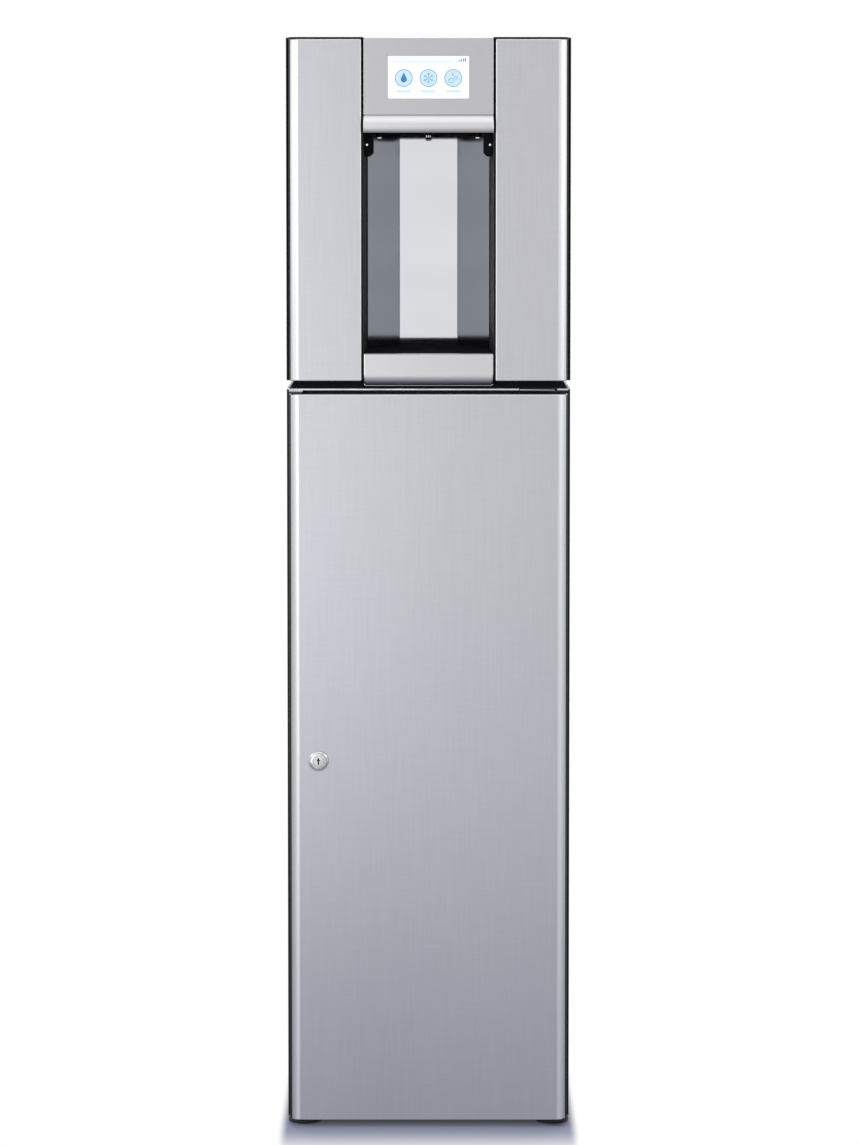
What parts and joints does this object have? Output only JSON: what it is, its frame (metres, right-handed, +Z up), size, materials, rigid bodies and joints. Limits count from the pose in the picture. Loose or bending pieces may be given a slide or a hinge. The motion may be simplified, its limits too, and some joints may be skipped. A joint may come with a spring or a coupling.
{
  "type": "water dispenser",
  "caption": "Slim floor-standing water dispenser: tap unit with touch screen, dispensing niche and drip tray over a lockable cabinet that holds gas bottle and filter.",
  "frame": {"origin": "on the ground, under the middle of the whole object's bounding box", "axes": "+Z up, the front with the niche and the door faces -Y, +X to the right as seen from the front"},
  "size_m": [0.336, 0.439, 1.295],
  "materials": {
    "black_paint": "black powder coat, satin",
    "brushed_stainless": "linen-patterned stainless steel",
    "satin_aluminium": "fine satin",
    "polished_steel": "polished stainless steel",
    "zinc_steel": "zinc plated, slightly dull",
    "lock_metal": "nickel plated",
    "spout_steel": "stainless steel",
    "black_gloss": "black, glossy",
    "display": "lit display under clear glass",
    "black_plastic": "black, fine grain",
    "foot_rubber": "black rubber",
    "gasket_rubber": "dark grey, soft",
    "liner_paint": "light grey paint",
    "bottle_paint": "grey paint",
    "brass": "plain machined brass",
    "white_plastic": "white moulded plastic",
    "blue_plastic": "blue plastic",
    "insulation": "dark closed-cell foam",
    "compressor_paint": "glossy black enamel",
    "fins": "thin raw fins",
    "pump_metal": "drawn steel and cast brass",
    "circuit_board": "green board"
  },
  "bodies": {
    "casing": {"cabinet_side_left": "black_paint", "cabinet_side_right": "black_paint", "cabinet_back": "black_paint", "cabinet_floor": "black_paint", "cabinet_header": "black_paint", "plinth": "black_paint", "head_floor": "black_paint", "head_side_left": "black_paint", "head_side_right": "black_paint", "head_back": "black_paint", "top_cover": "black_paint", "front_panel_left": "brushed_stainless", "front_panel_right": "brushed_stainless", "fascia": "satin_aluminium", "niche_wing_left": "polished_steel", "niche_wing_right": "polished_steel", "niche_back": "polished_steel", "cabinet_top": "zinc_steel", "hinge_top": "zinc_steel", "hinge_bottom": "zinc_steel", "cylinder_clamp": "zinc_steel", "nozzles": "spout_steel", "nozzle_carrier": "black_gloss", "lamps_and_sensors": "black_gloss", "niche_cheek_left": "black_gloss", "niche_cheek_right": "black_gloss", "display_unit": "display", "fan_frame": "black_plastic", "power_inlet": "black_plastic", "gas_hose": "black_plastic", "gas_cylinder": "bottle_paint", "cylinder_valve": "brass", "regulator": "brass", "water_inlet": "brass", "filter_head": "white_plastic", "valve_manifold": "white_plastic", "water_hoses": "blue_plastic", "chiller_tank": "insulation", "compressor": "compressor_paint", "condenser": "fins", "pump": "pump_metal", "control_board": "circuit_board"},
    "door": {"door_skin": "brushed_stainless", "door_liner": "liner_paint", "door_gasket": "gasket_rubber", "lock_body": "lock_metal"},
    "lock": {"lock_plug": "lock_metal", "lock_cam": "lock_metal"},
    "tray": {"drip_tray": "black_plastic", "tray_front": "satin_aluminium"},
    "grille": {"drip_grille": "black_gloss"},
    "handwheel": {"valve_handwheel": "black_plastic"},
    "knob": {"regulator_knob": "black_plastic"},
    "lever": {"shutoff_lever": "blue_plastic"},
    "cartridge": {"filter_cartridge": "white_plastic"},
    "fan": {"fan_rotor": "black_plastic"},
    "left_front_foot": {"foot_front_left": "foot_rubber"},
    "right_front_foot": {"foot_front_right": "foot_rubber"},
    "left_rear_foot": {"foot_rear_left": "foot_rubber"},
    "right_rear_foot": {"foot_rear_right": "foot_rubber"}
  },
  "joints": [
    {"name": "door_hinge", "type": "hinge", "parent": "casing", "child": "door", "pos_m": [0.158, -0.2055, 0.44], "axis": [0, 0, 1], "range_deg": [0, 110]},
    {"name": "lock_turn", "type": "hinge", "parent": "door", "child": "lock", "pos_m": [-0.1305, -0.2, 0.44], "axis": [0, 1, 0], "range_deg": [0, 90]},
    {"name": "tray_slide", "type": "slide", "parent": "casing", "child": "tray", "axis": [0, -1, 0], "range_m": [0, 0.24]},
    {"name": "grille_lift", "type": "slide", "parent": "tray", "child": "grille", "axis": [0, 0, 1], "range_m": [0, 0.12]},
    {"name": "handwheel_turn", "type": "hinge", "parent": "casing", "child": "handwheel", "pos_m": [-0.08, 0.136, 0.47], "axis": [0, 0, 1], "range_deg": [0, 540]},
    {"name": "knob_turn", "type": "hinge", "parent": "casing", "child": "knob", "pos_m": [-0.024, 0.11, 0.4415], "axis": [0, -1, 0], "range_deg": [0, 360]},
    {"name": "lever_turn", "type": "hinge", "parent": "casing", "child": "lever", "pos_m": [0.15, 0.13, 0.155], "axis": [0, -1, 0], "range_deg": [0, 90]},
    {"name": "cartridge_twist", "type": "hinge", "parent": "casing", "child": "cartridge", "pos_m": [0.088, 0.15, 0.7], "axis": [0, 0, 1], "range_deg": [0, 90]},
    {"name": "fan_spin", "type": "hinge", "parent": "casing", "child": "fan", "pos_m": [0.098, 0.16, 1.1225], "axis": [0, 1, 0], "continuous": true},
    {"name": "left_front_foot_turn", "type": "hinge", "parent": "casing", "child": "left_front_foot", "pos_m": [-0.148, -0.1815, 0.004], "axis": [0, 0, 1], "continuous": true},
    {"name": "left_rear_foot_turn", "type": "hinge", "parent": "casing", "child": "left_rear_foot", "pos_m": [-0.148, 0.1735, 0.004], "axis": [0, 0, 1], "continuous": true},
    {"name": "right_front_foot_turn", "type": "hinge", "parent": "casing", "child": "right_front_foot", "pos_m": [0.148, -0.1815, 0.004], "axis": [0, 0, 1], "continuous": true},
    {"name": "right_rear_foot_turn", "type": "hinge", "parent": "casing", "child": "right_rear_foot", "pos_m": [0.148, 0.1735, 0.004], "axis": [0, 0, 1], "continuous": true}
  ]
}
